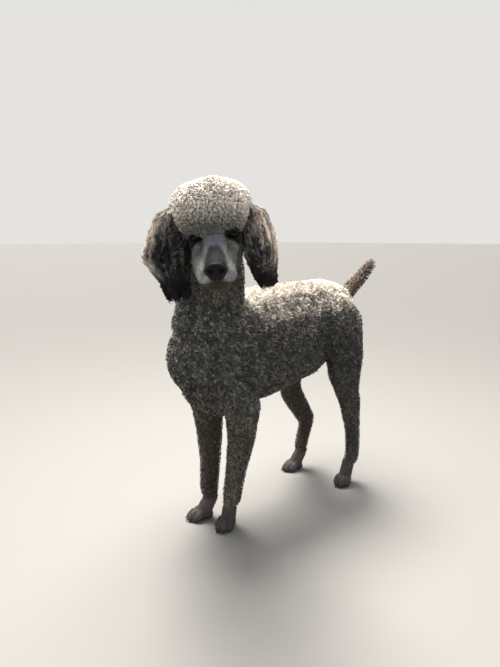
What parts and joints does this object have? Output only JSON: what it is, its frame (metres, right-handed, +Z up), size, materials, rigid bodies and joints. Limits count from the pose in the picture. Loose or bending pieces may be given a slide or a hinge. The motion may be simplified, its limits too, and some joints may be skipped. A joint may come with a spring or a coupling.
{
  "type": "standard poodle, still life-size model",
  "caption": "Life-size standing standard poodle in a short curly clip, its head turned to its left, with a rounded topknot and long hanging ears.",
  "frame": {"origin": "on the floor, under the middle of the whole outline from front to back and side to side", "axes": "+Z up; -Y the way the dog stands and would walk; +X its left side, to which the head is turned"},
  "size_m": [0.38, 0.7904, 0.8091],
  "materials": {
    "body_coat": "short curly hair, grey beige",
    "topknot_coat": "dense pale curls",
    "ear_coat": "long wavy charcoal hair",
    "shaved_skin": "closely shaved, matt",
    "nose_leather": "moist, pebbled",
    "eye": "wet, very glossy"
  },
  "bodies": {
    "root": {"ear_left": "ear_coat", "ear_right": "ear_coat", "eye_left": "eye", "eye_right": "eye", "head": "shaved_skin", "hock_left": "body_coat", "hock_right": "body_coat", "leg_front_left": "body_coat", "leg_front_right": "body_coat", "neck": "body_coat", "nose": "nose_leather", "paw_front_left": "shaved_skin", "paw_front_right": "shaved_skin", "paw_hind_left": "shaved_skin", "paw_hind_right": "shaved_skin", "shank_left": "body_coat", "shank_right": "body_coat", "tail": "body_coat", "thigh_left": "body_coat", "thigh_right": "body_coat", "topknot": "topknot_coat", "torso": "body_coat"}
  },
  "joints": []
}
